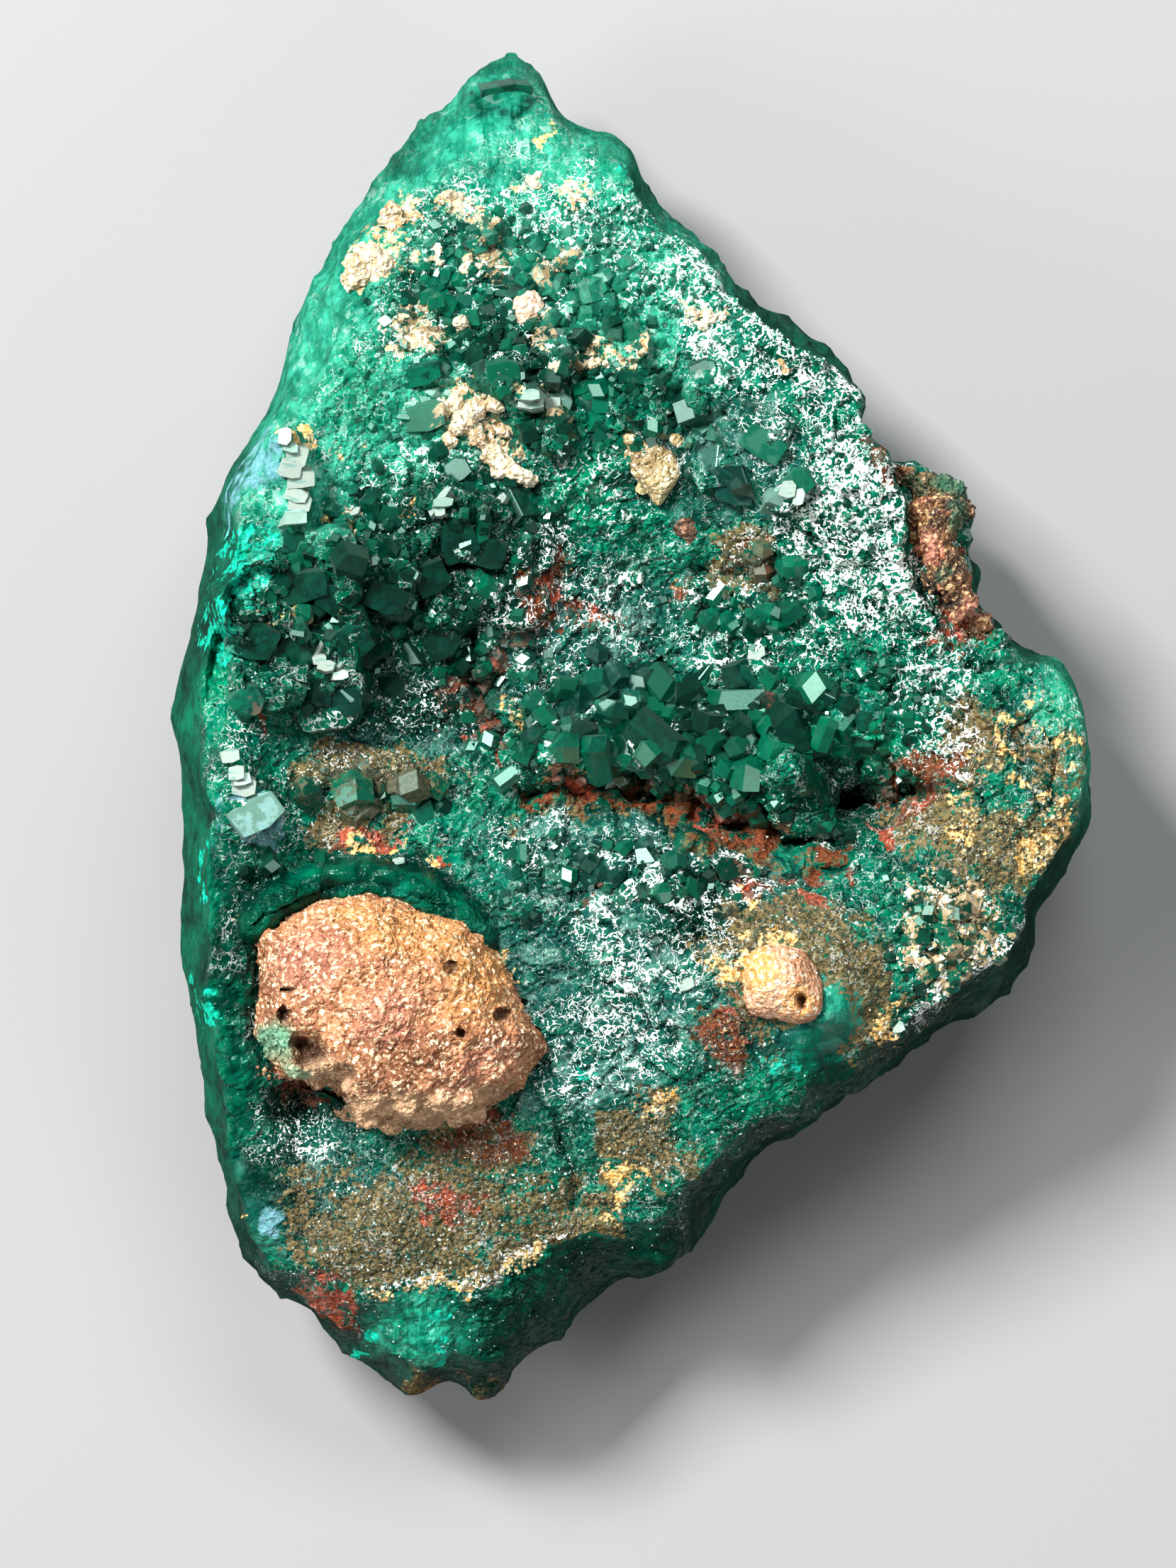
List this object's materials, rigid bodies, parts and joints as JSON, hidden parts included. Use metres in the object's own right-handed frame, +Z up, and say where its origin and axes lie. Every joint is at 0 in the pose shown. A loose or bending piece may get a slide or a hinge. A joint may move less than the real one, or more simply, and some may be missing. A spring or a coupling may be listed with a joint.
{
  "type": "dioptase mineral specimen",
  "caption": "Leaf-shaped slab of massive green dioptase with a crystal druse and lumps of sandy matrix on its top face.",
  "frame": {"origin": "middle of the bounding box in plan, on the flat underside that it rests on", "axes": "+Z up out of the crystal face, +Y along the length towards the pointed end, +X towards the broad shoulder"},
  "size_m": [0.035, 0.052, 0.0157],
  "materials": {
    "dioptase": "glassy",
    "tan_matrix": "granular",
    "peach_matrix": "granular",
    "rusty_matrix": "earthy",
    "sandy_matrix": "granular",
    "cream_nodule": "sugary",
    "pink_nodule": "sugary",
    "brown_knob": "earthy"
  },
  "bodies": {
    "root": {"dioptase_mass": "dioptase", "large_matrix_lump": "tan_matrix", "small_matrix_knob": "peach_matrix", "rusty_edge_clump": "rusty_matrix", "sandy_wedge": "sandy_matrix", "cream_wishbone": "cream_nodule", "brown_knob": "brown_knob", "pink_nodule": "pink_nodule", "cream_nodule_1": "cream_nodule", "cream_nodule_2": "cream_nodule", "cream_nodule_3": "cream_nodule", "cream_nodule_4": "cream_nodule", "cream_nodule_5": "cream_nodule", "cream_nodule_6": "cream_nodule"}
  },
  "joints": []
}
